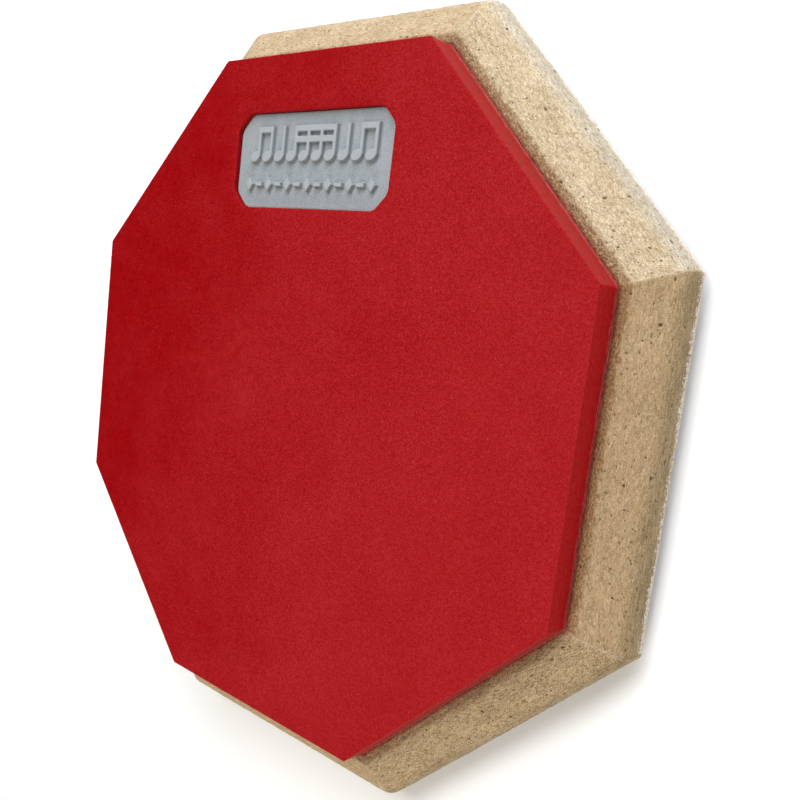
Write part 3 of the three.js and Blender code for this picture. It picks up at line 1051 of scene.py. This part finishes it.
def dress(piece, material, slot, *nodes):
    """Gives a piece its material, and has it stand for those nodes of the CAD. slot is not used."""
    piece.data.materials.append(material)
    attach(piece, "root")
    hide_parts(*nodes)
    return piece


def add_floor():
    """The floor that shows, and just under it one that the camera does not see, for light to come back from
    where the first fades."""
    r = FLOOR_REACH
    square = ((-r, -r), (r, -r), (r, r), (-r, r))
    floors = (("floor", 0, pale_floor()), ("floor_beyond", -1 * MM, unfading_floor()))
    for name, height, material in floors:
        floor = make_mesh(name, [(x, y, height) for x, y in square], [(0, 1, 2, 3)])
        floor.data.materials.append(material)
        floor.visible_camera = height == 0


def add_softbox(name, azimuth, elevation, distance, size, power, colour):
    """A square soft light of that size, pointing at the pad from a direction in degrees."""
    lamp = bpy.data.lights.new(name, "AREA")
    lamp.size = size
    lamp.energy = power
    lamp.color = colour
    holder = bpy.data.objects.new(name, lamp)
    turn, rise = math.radians(azimuth), math.radians(elevation)
    level, up = math.cos(rise), math.sin(rise)
    place = Vector((math.cos(turn) * level, math.sin(turn) * level, up)) * distance
    holder.location = place
    holder.rotation_euler = (-place).to_track_quat("-Z", "Y").to_euler()
    bpy.context.scene.collection.objects.link(holder)


def add_lights():
    """A cool key light beyond the badge, one above it, a weak one on the other side and a warm fill."""
    add_softbox("key", 73, 24, 1.2, 0.9, 17.6, (0.96, 1.0, 1.08))
    add_softbox("top", 100, 62, 1.0, 0.6, 6.8, (0.98, 1.0, 1.0))
    add_softbox("side", 300, 60, 0.6, 0.4, 1.0, (1.0, 0.97, 0.92))
    add_softbox("fill", 270, 15, 0.9, 0.6, 6.1, (1.0, 0.93, 0.81))


def add_surround():
    """White all round, which lights the pad only faintly but looks bright to the camera."""
    world = bpy.data.worlds.new("studio")
    world.use_nodes = True
    nodes, links = world.node_tree.nodes, world.node_tree.links
    background = next(n for n in nodes if n.type == "BACKGROUND")
    background.inputs["Color"].default_value = (1.0, 1.0, 1.0, 1)
    seen = nodes.new("ShaderNodeLightPath")
    strength = nodes.new("ShaderNodeMapRange")
    strength.inputs["To Min"].default_value = SURROUND_LIGHT
    strength.inputs["To Max"].default_value = SURROUND_SEEN
    links.new(seen.outputs["Is Camera Ray"], strength.inputs["Value"])
    links.new(strength.outputs[0], background.inputs["Strength"])
    bpy.context.scene.world = world


def add_camera():
    """Looks down at the pad from its right, turned so that the badge side is up in the picture."""
    data = bpy.data.cameras.new("camera")
    data.lens = CAMERA_LENS
    data.sensor_width = CAMERA_SENSOR
    data.shift_x, data.shift_y = CAMERA_SHIFT
    data.clip_start = 10 * MM
    camera = bpy.data.objects.new("camera", data)
    camera.location = CAMERA_PLACE + Vector((0, 0, RUBBER_HIGH.z))
    camera.rotation_euler = [math.radians(a) for a in CAMERA_TURN]
    bpy.context.scene.collection.objects.link(camera)
    bpy.context.scene.camera = camera


GLUE = dried_glue()
dress(build_board(), chipboard(), "chipboard", "base_board")
dress(build_rubber(), red_rubber(), "red_rubber", "playing_surface")
dress(build_badge(), grey_rubber(), "grey_rubber", "badge_insert")
dress(build_glue(), GLUE, "dried_glue", "surface_adhesive")
foam = dress(build_foam(), dark_foam(), "dark_foam", "nonslip_backing")
for name in ("badge_adhesive", "backing_adhesive"):
    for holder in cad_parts[name].material_slots:
        holder.material = GLUE

add_floor()
add_lights()
add_surround()
add_camera()
bpy.context.scene.view_settings.view_transform = "Standard"
